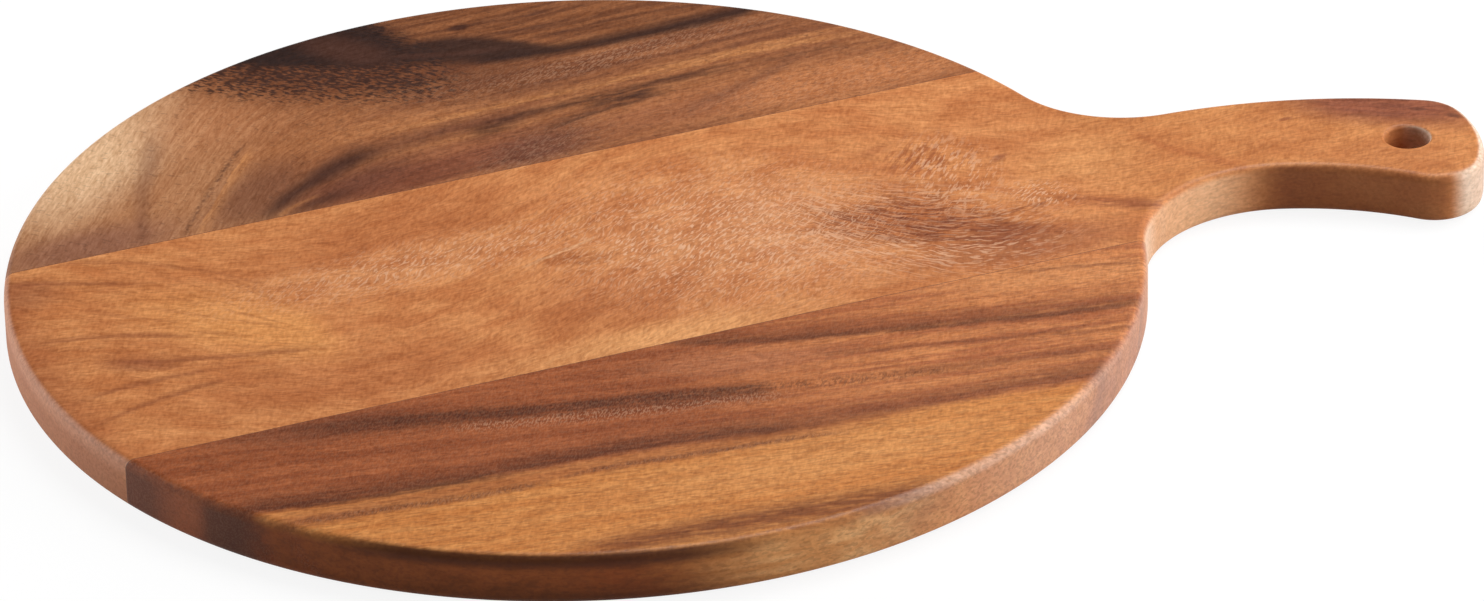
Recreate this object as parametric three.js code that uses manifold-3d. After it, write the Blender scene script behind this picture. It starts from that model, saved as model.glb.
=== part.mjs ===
// A round serving board with a hooked handle, glued up from three staves of oiled hardwood.
// Millimetres, +Z up. The origin is the centre of the round on the underside, and +X runs along the handle
// and the grain. The back of the board is +Y, the front is -Y.
import * as THREE from 'three';
import { mergeVertices } from 'three/addons/utils/BufferGeometryUtils.js';
import Module from 'manifold-3d';

// The round
const BOARD_DIAMETER = 300;
const BOARD_THICKNESS = 14;
const EDGE_ROUND = 2.5;

// The glued panel: the handle stave lies between the two joints, its middle a little behind the centre line
const HANDLE_STAVE_WIDTH = 104.4;
const HANDLE_STAVE_SHIFT = 2.4;
const GLUE_FILM = 0.2;

// The neck, where both flanks run along X, measured from the rim of the round and from the centre line
const NECK_REACH = 12.8;
const NECK_SHIFT = -4.8;
const NECK_WIDTH = 36.9;
const BACK_FILLET = 33.2;
const FRONT_FILLET = 39.2;

// The flanks bend the handle toward the front, and a crowned tip with round corners ends it
const BACK_FLANK_RADIUS = 155.3;
const FRONT_FLANK_RADIUS = 82.8;
const HANDLE_LENGTH = 99;
const TIP_SHIFT = -22.3;
const TIP_RADIUS = 41.4;
const TIP_CORNER = 13.1;

// The hanging hole, its bearing seen from the middle of the tip's arc
const HOLE_DIAMETER = 12.2;
const HOLE_EASE = 1;
const HOLE_SETBACK = 20;
const HOLE_BEARING = THREE.MathUtils.degToRad(-12);

// How far a facet's middle may lie inside its arc, and how many facets make a quarter turn of an edge
const FACET_SAG = 0.06;
const EDGE_FACETS = 5;
const HOLE_EASE_FACETS = 3;
// How far a cutting solid stands clear of the board
const CUT_CLEAR = 20;

const WOOD = { roughness: 0.5, metalness: 0 };
const COLOURS = {
  back_stave: 0x8f5a30,
  handle_stave: 0xb87039,
  front_stave: 0xa06434,
  glue_film: 0x4a2a17,
};

// A circle of the outline: its bend is its radius, positive where the wood bulges and negative where it hollows
const circle = (x, y, bend) => ({ centre: new THREE.Vector2(x, y), bend });

// The circle of a given bend that touches two others, on the left (side 1) or right (side -1) of their centre line
function touching(first, second, bend, side) {
  const line = second.centre.clone().sub(first.centre);
  const span = line.length();
  const reach = Math.abs(first.bend - bend);
  const other = Math.abs(second.bend - bend);
  const along = (reach ** 2 - other ** 2 + span ** 2) / (2 * span);
  const across = side * Math.sqrt(reach ** 2 - along ** 2);
  const ahead = line.divideScalar(span);
  return circle(
    first.centre.x + along * ahead.x - across * ahead.y,
    first.centre.y + along * ahead.y + across * ahead.x,
    bend,
  );
}

// Where two touching circles meet
function meeting(first, second) {
  return first.centre.clone().lerp(second.centre, first.bend / (first.bend - second.bend));
}

// Points along one circle of the outline from one meeting point to the next, without the last
function arcPoints({ centre, bend }, from, to) {
  const radius = Math.abs(bend);
  const start = from.clone().sub(centre).angle();
  const end = to.clone().sub(centre).angle();
  const arc = new THREE.ArcCurve(centre.x, centre.y, radius, start, end, bend < 0);
  const facet = 2 * Math.acos(1 - FACET_SAG / radius) * radius;
  const count = Math.max(2, Math.ceil(arc.getLength() / facet));
  return arc.getPoints(count).slice(0, -1);
}

// The board's outline from above: eight arcs, each running smoothly into the next
function boardOutline() {
  const radius = BOARD_DIAMETER / 2;
  const neckX = radius + NECK_REACH;
  const tipX = radius + HANDLE_LENGTH - TIP_RADIUS;
  const backY = NECK_SHIFT + NECK_WIDTH / 2;
  const frontY = NECK_SHIFT - NECK_WIDTH / 2;
  const round = circle(0, 0, radius);
  const backFlank = circle(neckX, backY - BACK_FLANK_RADIUS, BACK_FLANK_RADIUS);
  const frontFlank = circle(neckX, frontY - FRONT_FLANK_RADIUS, -FRONT_FLANK_RADIUS);
  const tip = circle(tipX, TIP_SHIFT, TIP_RADIUS);
  const chain = [
    round,
    touching(round, frontFlank, -FRONT_FILLET, 1),
    frontFlank,
    touching(frontFlank, tip, TIP_CORNER, -1),
    tip,
    touching(backFlank, tip, TIP_CORNER, -1),
    backFlank,
    touching(round, backFlank, -BACK_FILLET, 1),
  ];
  const meetings = chain.map((arc, i) => meeting(arc, chain[(i + 1) % chain.length]));
  const points = chain.flatMap((arc, i) => arcPoints(arc, meetings.at(i - 1), meetings[i]));
  return { shape: new THREE.Shape(points), tip };
}

const wasm = await Module();
wasm.setup();

// A closed geometry as a solid that can be cut
function solid(geometry) {
  geometry.deleteAttribute('normal');
  geometry.deleteAttribute('uv');
  const merged = mergeVertices(geometry);
  return new wasm.Manifold(new wasm.Mesh({
    numProp: 3,
    vertProperties: new Float32Array(merged.attributes.position.array),
    triVerts: new Uint32Array(merged.index.array),
  }));
}

// A cut solid as a named mesh with a finish of its own
function piece(name, body, colour) {
  const { vertProperties, triVerts } = body.getMesh();
  const geometry = new THREE.BufferGeometry();
  geometry.setAttribute('position', new THREE.BufferAttribute(vertProperties, 3));
  geometry.setIndex(new THREE.BufferAttribute(triVerts, 1));
  geometry.computeVertexNormals();
  const mesh = new THREE.Mesh(geometry, new THREE.MeshStandardMaterial({ color: colour, ...WOOD }));
  mesh.name = name;
  return mesh;
}

// The whole board before it is parted into staves, with its edges rounded over on both faces
function boardBlank(shape) {
  const geometry = new THREE.ExtrudeGeometry(shape, {
    depth: BOARD_THICKNESS - 2 * EDGE_ROUND,
    bevelThickness: EDGE_ROUND,
    bevelSize: EDGE_ROUND,
    bevelOffset: -EDGE_ROUND,
    bevelSegments: EDGE_FACETS,
  });
  return solid(geometry.translate(0, 0, EDGE_ROUND));
}

// A block that reaches past the board's faces, between two places along X and along Y
function block(x0, x1, y0, y1) {
  const height = BOARD_THICKNESS + 2 * CUT_CLEAR;
  const geometry = new THREE.BoxGeometry(x1 - x0, y1 - y0, height);
  return solid(geometry.translate((x0 + x1) / 2, (y0 + y1) / 2, BOARD_THICKNESS / 2));
}

// What the drill and the easing of the hole's two lips take away
function holeCut(tip) {
  const radius = HOLE_DIAMETER / 2;
  const mouth = radius + HOLE_EASE;
  const lip = (z, start, end) => new THREE.ArcCurve(mouth, z, HOLE_EASE, start, end, true).getPoints(HOLE_EASE_FACETS);
  const profile = [
    new THREE.Vector2(0, -CUT_CLEAR),
    new THREE.Vector2(mouth, -CUT_CLEAR),
    ...lip(HOLE_EASE, -Math.PI / 2, -Math.PI),
    ...lip(BOARD_THICKNESS - HOLE_EASE, Math.PI, Math.PI / 2),
    new THREE.Vector2(mouth, BOARD_THICKNESS + CUT_CLEAR),
    new THREE.Vector2(0, BOARD_THICKNESS + CUT_CLEAR),
  ];
  const facet = 2 * Math.acos(1 - FACET_SAG / radius);
  const geometry = new THREE.LatheGeometry(profile, Math.ceil(2 * Math.PI / facet));
  const reach = TIP_RADIUS - HOLE_SETBACK;
  const x = tip.centre.x + reach * Math.cos(HOLE_BEARING);
  const y = tip.centre.y + reach * Math.sin(HOLE_BEARING);
  return solid(geometry.rotateX(Math.PI / 2).translate(x, y, 0));
}

const { shape, tip } = boardOutline();
const blank = boardBlank(shape);

// The joints run the length of the round. The whole handle belongs to the handle stave.
const radius = BOARD_DIAMETER / 2;
const outside = radius + CUT_CLEAR;
const jointEnd = radius + NECK_REACH;
const backJoint = HANDLE_STAVE_SHIFT + HANDLE_STAVE_WIDTH / 2;
const frontJoint = HANDLE_STAVE_SHIFT - HANDLE_STAVE_WIDTH / 2;
const half = GLUE_FILM / 2;

const behindStave = block(-outside, jointEnd, backJoint - half, outside);
const beforeStave = block(-outside, jointEnd, -outside, frontJoint + half);
const backPlace = block(-outside, jointEnd, backJoint + half, outside);
const frontPlace = block(-outside, jointEnd, -outside, frontJoint - half);
const backFilmPlace = block(-outside, jointEnd, backJoint - half, backJoint + half);
const frontFilmPlace = block(-outside, jointEnd, frontJoint - half, frontJoint + half);
const handleStave = blank.subtract(behindStave).subtract(beforeStave).subtract(holeCut(tip));

const board = new THREE.Group();
board.add(
  piece('back_stave', blank.intersect(backPlace), COLOURS.back_stave),
  piece('glue_line_back', blank.intersect(backFilmPlace), COLOURS.glue_film),
  piece('handle_stave', handleStave, COLOURS.handle_stave),
  piece('glue_line_front', blank.intersect(frontFilmPlace), COLOURS.glue_film),
  piece('front_stave', blank.intersect(frontPlace), COLOURS.front_stave),
);

export default board;
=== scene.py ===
# %% [markdown]
# A round serving board with a hooked handle, glued up from three staves of oiled hardwood. The construction
# comes packed as a frame in metres, and every piece made here sits in that frame. The lesson goes from the
# camera to the shape, then to the wood and the light.

# %% The frame
import math

import bmesh
import bpy
from mathutils import Matrix, Vector


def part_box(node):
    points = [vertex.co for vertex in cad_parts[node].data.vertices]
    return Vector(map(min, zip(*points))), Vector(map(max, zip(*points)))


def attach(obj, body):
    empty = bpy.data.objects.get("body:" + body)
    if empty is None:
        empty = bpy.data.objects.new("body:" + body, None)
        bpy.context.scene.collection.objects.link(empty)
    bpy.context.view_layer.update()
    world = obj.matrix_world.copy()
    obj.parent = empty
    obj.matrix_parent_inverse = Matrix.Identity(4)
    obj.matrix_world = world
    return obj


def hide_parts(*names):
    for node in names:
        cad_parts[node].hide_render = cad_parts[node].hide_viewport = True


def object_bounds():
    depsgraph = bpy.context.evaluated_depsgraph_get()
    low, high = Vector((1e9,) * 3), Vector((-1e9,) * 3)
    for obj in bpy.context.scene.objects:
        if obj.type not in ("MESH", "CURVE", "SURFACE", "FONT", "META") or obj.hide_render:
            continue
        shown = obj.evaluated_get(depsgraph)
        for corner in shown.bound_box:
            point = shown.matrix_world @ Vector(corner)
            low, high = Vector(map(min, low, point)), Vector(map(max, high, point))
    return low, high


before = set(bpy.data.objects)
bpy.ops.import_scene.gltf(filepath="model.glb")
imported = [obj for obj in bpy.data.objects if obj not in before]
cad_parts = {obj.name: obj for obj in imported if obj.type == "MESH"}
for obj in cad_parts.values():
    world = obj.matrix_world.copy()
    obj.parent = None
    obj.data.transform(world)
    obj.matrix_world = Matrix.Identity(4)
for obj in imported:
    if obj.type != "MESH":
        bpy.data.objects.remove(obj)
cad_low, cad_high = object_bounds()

MM = 0.001
scene = bpy.context.scene
print("CAD box in mm:", [round(v / MM, 1) for v in (*cad_low, *cad_high)])

# %% [markdown]
# The photograph is taken from far away with a long lens, so lines that are parallel stay almost parallel. A
# camera can be turned by hand until it looks right, but it is surer to work out where it stands: a bearing, a
# height above the table, a slight roll and a distance fix it, and its three axes then go into one matrix.

# %% Camera
PHOTO_WIDTH = 1484
FOCAL_PIXELS = 9113.3
SENSOR_WIDTH = 36
BEARING = math.radians(-21.377)
ELEVATION = math.radians(29.483)
ROLL = math.radians(-1.290)
DISTANCE = 2.4
AIM = Vector((41.12, -13.90, 0)) * MM

back = Vector((
    math.sin(BEARING) * math.cos(ELEVATION),
    -math.cos(BEARING) * math.cos(ELEVATION),
    math.sin(ELEVATION),
))
level = Vector((math.cos(BEARING), math.sin(BEARING), 0))
upward = back.cross(level)
side = math.cos(ROLL) * level + math.sin(ROLL) * upward
top = math.cos(ROLL) * upward - math.sin(ROLL) * level

lens = bpy.data.cameras.new("long_lens")
lens.sensor_fit = "HORIZONTAL"
lens.sensor_width = SENSOR_WIDTH
lens.lens = SENSOR_WIDTH * FOCAL_PIXELS / PHOTO_WIDTH
camera = bpy.data.objects.new("camera", lens)
camera.matrix_world = Matrix((side, top, back)).transposed().to_4x4()
camera.matrix_world.translation = AIM + DISTANCE * back
scene.collection.objects.link(camera)
scene.camera = camera
print("lens in mm:", round(lens.lens, 1), "eye:", [round(v, 3) for v in camera.matrix_world.translation])

# %% [markdown]
# Seen from above, the board's edge is a chain of eight arcs that run smoothly into each other: the round, two
# hollow fillets at the neck, two flanks, two corners and the crowned tip. A traced spline would show bumps in
# the long soft curves, so each arc is a circle with a signed bend, positive where the wood bulges, and a
# fillet or corner is the one circle of its bend that touches both of its neighbours.

# %% Sizes of the board
THICKNESS = cad_high.z - cad_low.z
EDGE_ROUND = 2.5 * MM
ROUND_RADIUS = 150 * MM
NECK_REACH = 12.8 * MM
NECK_WIDTH = 36.9 * MM
NECK_MIDDLE = -4.8 * MM
NECK_X = ROUND_RADIUS + NECK_REACH
NECK_BACK = NECK_MIDDLE + NECK_WIDTH / 2
NECK_FRONT = NECK_MIDDLE - NECK_WIDTH / 2
BACK_FLANK = 155.3 * MM
FRONT_FLANK = 82.8 * MM
BACK_FILLET = 33.2 * MM
FRONT_FILLET = 39.2 * MM
HANDLE_LENGTH = 99 * MM
TIP_RADIUS = 41.4 * MM
TIP_CORNER = 13.1 * MM
TIP_X = ROUND_RADIUS + HANDLE_LENGTH - TIP_RADIUS
TIP_Y = -22.3 * MM
POINT_SPACING = 1.2 * MM
print("thickness in mm:", round(THICKNESS / MM, 2))


# %% The outline as a chain of touching circles
def touching(first, second, bend, hand):
    """The circle that touches two others, left (hand 1) or right (hand -1) of the line between them."""
    (centre, first_bend), (other, second_bend) = first, second
    line = other - centre
    reach = abs(first_bend - bend)
    ahead = line.normalized()
    along = (reach ** 2 - (second_bend - bend) ** 2 + line.length_squared) / (2 * line.length)
    across = hand * math.sqrt(reach ** 2 - along ** 2)
    return centre + along * ahead + across * ahead.orthogonal(), bend


def meeting(first, second):
    """Where two touching circles meet."""
    (centre, bend), (other, other_bend) = first, second
    return centre.lerp(other, bend / (bend - other_bend))


def arc_points(circle, start, end):
    """Points along one arc from start to end, without the last, turning the way that its bend says."""
    centre, bend = circle
    first = math.atan2(start.y - centre.y, start.x - centre.x)
    last = math.atan2(end.y - centre.y, end.x - centre.x)
    sweep = (last - first) % (2 * math.pi) if bend > 0 else -((first - last) % (2 * math.pi))
    count = math.ceil(abs(sweep * bend) / POINT_SPACING)
    angles = [first + sweep * step / count for step in range(count)]
    return [centre + abs(bend) * Vector((math.cos(angle), math.sin(angle))) for angle in angles]


round_arc = (Vector((0, 0)), ROUND_RADIUS)
back_flank = (Vector((NECK_X, NECK_BACK - BACK_FLANK)), BACK_FLANK)
front_flank = (Vector((NECK_X, NECK_FRONT - FRONT_FLANK)), -FRONT_FLANK)
tip = (Vector((TIP_X, TIP_Y)), TIP_RADIUS)
chain = [
    round_arc,
    touching(round_arc, front_flank, -FRONT_FILLET, 1),
    front_flank,
    touching(front_flank, tip, TIP_CORNER, -1),
    tip,
    touching(back_flank, tip, TIP_CORNER, -1),
    back_flank,
    touching(round_arc, back_flank, -BACK_FILLET, 1),
]
meetings = [meeting(arc, chain[(i + 1) % len(chain)]) for i, arc in enumerate(chain)]
outline = []
for i, arc in enumerate(chain):
    outline += arc_points(arc, meetings[i - 1], meetings[i])
print("outline points:", len(outline))

# %% [markdown]
# Node trees shape the wood and colour it, so a small helper comes first. It adds a node, sets its options and
# wires its inputs in one line, which keeps each tree readable as a list of steps.


# %% A helper that draws node trees
class Drawing:
    """A node tree and short ways to add to it. Most ways give back the new node's result."""

    def __init__(self, tree):
        self.tree = tree

    def add(self, kind, inputs=None, **options):
        """Adds a node, and wires or sets the inputs given by socket name or number."""
        node = self.tree.nodes.new(kind)
        for name, value in options.items():
            setattr(node, name, value)
        for socket, value in (inputs or {}).items():
            self.wire(node.inputs[socket], value)
        return node

    def wire(self, socket, value):
        """Links another node's output to a socket, or sets the socket's own value."""
        if isinstance(value, bpy.types.NodeSocket):
            self.tree.links.new(value, socket)
        else:
            socket.default_value = value

    def math(self, operation, *terms, clamp=False):
        """One step of arithmetic."""
        node = self.add("ShaderNodeMath", dict(enumerate(terms)), operation=operation, use_clamp=clamp)
        return node.outputs[0]

    def vector(self, operation, *terms):
        """One step of arithmetic on all three coordinates."""
        return self.add("ShaderNodeVectorMath", dict(enumerate(terms)), operation=operation).outputs[0]

    def join(self, x, y, z):
        """A vector from three values."""
        return self.add("ShaderNodeCombineXYZ", {0: x, 1: y, 2: z}).outputs[0]

    def split(self, vector):
        """The three values of a vector."""
        return self.add("ShaderNodeSeparateXYZ", {0: vector}).outputs


def new_group(name, kind, inputs, outputs):
    """An empty node group with named sockets, as its drawing, its incoming values and its way out."""
    tree = bpy.data.node_groups.new(name, kind)
    for socket, value in inputs.items():
        sort = value if isinstance(value, str) else "Float"
        made = tree.interface.new_socket(socket, in_out="INPUT", socket_type="NodeSocket" + sort)
        if sort == "Float":
            made.default_value = value
    for socket, sort in outputs.items():
        tree.interface.new_socket(socket, in_out="OUTPUT", socket_type="NodeSocket" + sort)
    draw = Drawing(tree)
    print("node group:", name, list(inputs))
    return draw, draw.add("NodeGroupInput").outputs, draw.add("NodeGroupOutput")


# %% [markdown]
# A woodworker glues the staves into one panel, saws it to the outline and runs a round-over bit along both
# edges. Geometry Nodes can follow the same order: a profile of quarter round, wall and quarter round is swept
# along the outline, two flat faces close it, and a block picks out the part of the panel that is one stave. A
# Bevel modifier would have to find those edges again after every cut, while the sweep gives them for good.

# %% The swept edge profile
MERGE_DISTANCE = 0.002 * MM


def edge_profile(draw, thickness, edge, steps):
    """The panel's edge in section: a quarter turn at the top, the wall, and a quarter turn at the bottom."""
    count = draw.math("MULTIPLY_ADD", steps, 2, 2)
    line = draw.add("GeometryNodeMeshLine", {"Count": count})
    index = draw.add("GeometryNodeInputIndex").outputs[0]
    upper = draw.math("DIVIDE", index, steps, clamp=True)
    past = draw.math("SUBTRACT", draw.math("SUBTRACT", index, steps), 1)
    lower = draw.math("DIVIDE", past, steps, clamp=True)
    turned = draw.math("SUBTRACT", draw.math("SUBTRACT", 1, upper), lower)
    angle = draw.math("MULTIPLY", turned, math.pi / 2)
    is_upper = draw.math("LESS_THAN", past, -0.5)
    half_wall = draw.math("SUBTRACT", draw.math("MULTIPLY", thickness, 0.5), edge)
    wall_end = draw.math("MULTIPLY", half_wall, draw.math("MULTIPLY_ADD", is_upper, 2, -1))
    out = draw.math("MULTIPLY", edge, draw.math("SUBTRACT", draw.math("COSINE", angle), 1))
    rise = draw.math("MULTIPLY_ADD", edge, draw.math("SINE", angle), wall_end)
    place = draw.join(out, rise, 0)
    shaped = draw.add("GeometryNodeSetPosition", {"Geometry": line.outputs[0], "Position": place})
    return draw.add("GeometryNodeMeshToCurve", {"Mesh": shaped.outputs[0]}).outputs[0]


def flat_face(draw, ring, height):
    """A flat face inside a closed ring, at a height."""
    filled = draw.add("GeometryNodeFillCurve", {"Curve": ring}, mode="NGONS")
    x, y, _ = draw.split(draw.add("GeometryNodeInputPosition").outputs[0])
    place = draw.join(x, y, height)
    return draw.add("GeometryNodeSetPosition", {"Geometry": filled.outputs[0], "Position": place}).outputs[0]


def swept_panel(draw, outline, thickness, edge, steps):
    """The whole closed panel: the rim swept along the outline, and its two faces."""
    path = draw.add("GeometryNodeMeshToCurve", {"Mesh": outline})
    level = draw.add("GeometryNodeSetCurveNormal", {"Curve": path.outputs[0]}, mode="Z_UP")
    profile = edge_profile(draw, thickness, edge, steps)
    rim = draw.add("GeometryNodeCurveToMesh", {"Curve": level.outputs[0], "Profile Curve": profile})
    middle = draw.math("MULTIPLY", thickness, 0.5)
    lift = draw.join(0, 0, middle)
    outward = draw.add("GeometryNodeFlipFaces", {"Mesh": rim.outputs[0]}).outputs[0]
    raised = draw.add("GeometryNodeTransform", {"Geometry": outward, "Translation": lift}).outputs[0]
    faces = draw.add("GeometryNodeInputMeshEdgeNeighbors").outputs[0]
    height = draw.split(draw.add("GeometryNodeInputPosition").outputs[0])[2]
    is_open = draw.math("LESS_THAN", faces, 1.5)
    is_top = draw.math("GREATER_THAN", height, middle)
    top_edge = draw.math("MULTIPLY", is_open, is_top)
    ring = draw.add("GeometryNodeMeshToCurve", {"Mesh": raised, "Selection": top_edge}).outputs[0]
    upper = flat_face(draw, ring, thickness)
    lower = draw.add("GeometryNodeFlipFaces", {"Mesh": flat_face(draw, ring, 0)}).outputs[0]
    shell = draw.add("GeometryNodeJoinGeometry")
    for part in (raised, upper, lower):
        draw.tree.links.new(part, shell.inputs[0])
    seams = {"Geometry": shell.outputs[0], "Distance": MERGE_DISTANCE}
    return draw.add("GeometryNodeMergeByDistance", seams).outputs[0]


# %% Blocks, cuts and choices
def block(draw, low, high):
    """A box between two corners."""
    size = draw.vector("SUBTRACT", high, low)
    middle = draw.vector("SCALE", draw.vector("ADD", low, high))
    middle.node.inputs["Scale"].default_value = 0.5
    cube = draw.add("GeometryNodeMeshCube", {"Size": size}).outputs[0]
    return draw.add("GeometryNodeTransform", {"Geometry": cube, "Translation": middle}).outputs[0]


def cut(draw, operation, first, second):
    """Keeps what two solids share, joins them, or takes the second from the first."""
    node = draw.add("GeometryNodeMeshBoolean", operation=operation, solver="EXACT")
    draw.tree.links.new(first, node.inputs[0 if operation == "DIFFERENCE" else 1])
    draw.tree.links.new(second, node.inputs[1])
    return node.outputs[0]


def choose(draw, switch, when_off, when_on):
    """One of two geometries."""
    node = draw.add("GeometryNodeSwitch", {"Switch": switch}, input_type="GEOMETRY")
    draw.wire(node.inputs["False"], when_off)
    draw.wire(node.inputs["True"], when_on)
    return node.outputs[0]


# %% [markdown]
# The tree takes the panel and gives back one stave. Its block says which part of the panel is kept, and the
# handle stave adds a second block that holds everything past the neck and then meets the drill. Large faces
# stay flat, while the small ones of the rounded edge and of the hole are shaded smooth.

# %% The stave tree
HANDLE_REACH = 0.5
FLAT_AREA = 50 * MM ** 2
SHARP_ANGLE = math.radians(35)

draw, given, result = new_group(
    "stave from a rounded panel",
    "GeometryNodeTree",
    {
        "Outline": "Geometry", "Thickness": THICKNESS, "Edge Round": EDGE_ROUND, "Round Steps": "Int",
        "Low Corner": "Vector", "High Corner": "Vector", "Carries Handle": "Bool", "Handle From": NECK_X,
        "Handle Reach": HANDLE_REACH, "Drill": "Object", "Flat Area": FLAT_AREA, "Sharp Angle": SHARP_ANGLE,
        "Finish": "Material",
    },
    {"Stave": "Geometry"},
)
panel = swept_panel(draw, given["Outline"], given["Thickness"], given["Edge Round"], given["Round Steps"])
stave_block = block(draw, given["Low Corner"], given["High Corner"])
reach = given["Handle Reach"]
hook_low = draw.join(given["Handle From"], draw.math("MULTIPLY", reach, -1), draw.math("MULTIPLY", reach, -1))
hook_block = block(draw, hook_low, draw.join(reach, reach, reach))
whole_block = cut(draw, "UNION", stave_block, hook_block)
kept = cut(draw, "INTERSECT", panel, choose(draw, given["Carries Handle"], stave_block, whole_block))
drill = draw.add("GeometryNodeObjectInfo", {"Object": given["Drill"]}).outputs["Geometry"]
drilled = choose(draw, given["Carries Handle"], kept, cut(draw, "DIFFERENCE", kept, drill))
area = draw.add("GeometryNodeInputMeshFaceArea").outputs[0]
is_round = draw.math("LESS_THAN", area, given["Flat Area"])
smooth = draw.add("GeometryNodeSetShadeSmooth", {"Geometry": drilled, "Shade Smooth": is_round}).outputs[0]
bend = draw.add("GeometryNodeInputMeshEdgeAngle").outputs[0]
is_sharp = draw.math("GREATER_THAN", bend, given["Sharp Angle"])
hard = {"Geometry": smooth, "Selection": is_sharp, "Shade Smooth": False}
creased = draw.add("GeometryNodeSetShadeSmooth", hard, domain="EDGE").outputs[0]
real = draw.add("GeometryNodeRealizeInstances", {"Geometry": creased}).outputs[0]
oiled = draw.add("GeometryNodeSetMaterial", {"Geometry": real, "Material": given["Finish"]}).outputs[0]
draw.wire(result.inputs[0], oiled)
stave_tree = draw.tree
print("stave tree nodes:", len(stave_tree.nodes))

# %% [markdown]
# The three staves are one kind of hardwood, and each has its own figure: the board is known by it. An image
# of the wood would be the quick way, but a solid pattern drawn with nodes goes right through the stave, so
# the lines on a face turn the corner and come out on the rim as they do in real wood. Groups hold what all
# three finishes share. Each reads a place in millimetres, with the grain along X.


# %% More ways to draw, for finishes
def colour(red, green, blue):
    """A colour by its screen values, as the light values that a shader mixes."""
    def light(value):
        share = value / 255
        return share / 12.92 if share <= 0.04045 else ((share + 0.055) / 1.055) ** 2.4
    return light(red), light(green), light(blue), 1


class Finish(Drawing):
    """A drawing with the ways that a wood finish needs. Masks go from 0 to 1."""

    def ramp(self, value, start, end, low=0, high=1):
        """A soft step from low to high while the value goes from start to end."""
        inputs = {"Value": value, "From Min": start, "From Max": end, "To Min": low, "To Max": high}
        return self.add("ShaderNodeMapRange", inputs, interpolation_type="SMOOTHSTEP").outputs[0]

    def span(self, value, rise, fall):
        """A mask that rises and then falls again along a value."""
        return self.times(self.ramp(value, *rise), self.ramp(value, *fall))

    def noise(self, place, detail=2):
        """Soft noise with features about one unit wide."""
        return self.add("ShaderNodeTexNoise", {"Vector": place, "Scale": 1, "Detail": detail}).outputs[0]

    def mix(self, share, below, above, blend="MIX"):
        """One colour laid over another."""
        inputs = {0: share, 6: below, 7: above}
        return self.add("ShaderNodeMix", inputs, data_type="RGBA", blend_type=blend).outputs[2]

    def most(self, *masks):
        """The strongest of several masks."""
        strongest = masks[0]
        for mask in masks[1:]:
            strongest = self.math("MAXIMUM", strongest, mask)
        return strongest

    def times(self, *masks):
        """What several masks have in common."""
        product = masks[0]
        for mask in masks[1:]:
            product = self.math("MULTIPLY", product, mask)
        return product

    def use(self, tree, output=0, **values):
        """Places a group with its own values and gives back one of its outputs."""
        node = self.add("ShaderNodeGroup", node_tree=tree)
        for name, value in values.items():
            self.wire(node.inputs[name.title()], value)
        return node.outputs[output]

    def tell(self, step):
        """Says how far the tree has grown."""
        print(f"{step}: {len(self.tree.nodes)} nodes so far")


def shader_group(name, inputs, **outputs):
    """A shader node group: its drawing, its incoming values and its ways out."""
    draw, given, result = new_group(name, "ShaderNodeTree", inputs, outputs)
    return Finish(draw.tree), given, result.inputs


# %% [markdown]
# No line in wood is straight for long, because a tree sways, leans and grows round its knots. Bending every
# line by hand would take many points. Instead one group moves the place itself across the grain by soft
# noise, and whatever is drawn on the moved place wanders with it.

# %% Group: lines that wander
draw, given, result = shader_group(
    "wander", {"Place": "Vector", "Along": 30, "Across": 8, "Amount": 3, "Seed": 0}, Moved="Vector")
shifted = draw.vector("ADD", given["Place"], draw.join(given["Seed"], given["Seed"], 0))
cell = draw.join(given["Along"], given["Across"], given["Across"])
swing = draw.math("SUBTRACT", draw.noise(draw.vector("DIVIDE", shifted, cell)), 0.5)
push = draw.math("MULTIPLY", swing, draw.math("MULTIPLY", given["Amount"], 2))
draw.wire(result[0], draw.vector("ADD", given["Place"], draw.join(0, push, 0)))
wander_group = draw.tree

# %% [markdown]
# A growth ring that the saw laid open is a long band. Often one side is crisp, where a year's growth ends,
# and the other fades. A Wave Texture repeats such bands evenly, but on this board no two are alike, so the
# group makes a single band: a parabola is its spine, and each side has its own reach.

# %% Group: a band that follows a bent line
draw, given, result = shader_group(
    "band",
    {
        "Place": "Vector", "Middle": 0, "Height": 0, "Slope": 0, "Bend": 0, "Back": 3, "Front": 3,
        "Start": -100, "Stop": 100, "Fade": 20, "Share": 1,
    },
    Mask="Float", Off="Float",
)
x, y, _ = draw.split(given["Place"])
run = draw.math("SUBTRACT", x, given["Middle"])
steep = draw.math("MULTIPLY_ADD", run, given["Bend"], given["Slope"])
off = draw.math("SUBTRACT", y, draw.math("MULTIPLY_ADD", steep, run, given["Height"]))
behind = draw.ramp(off, given["Back"], 0, 0, given["Share"])
before = draw.ramp(off, draw.math("MULTIPLY", given["Front"], -1), 0)
enters = draw.ramp(x, given["Start"], draw.math("ADD", given["Start"], given["Fade"]))
leaves = draw.ramp(x, given["Stop"], draw.math("SUBTRACT", given["Stop"], given["Fade"]))
draw.wire(result[0], draw.times(behind, before, enters, leaves))
draw.wire(result[1], off)
band_group = draw.tree

# %% [markdown]
# Between the bands the tone changes in soft clouds. A spherical Gradient Texture behind a Mapping node could
# give one, with a ramp after it for its edge. The group does all three at once: it measures the distance from
# the middle of a turned oval, and one input says how soft the edge is.

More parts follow.
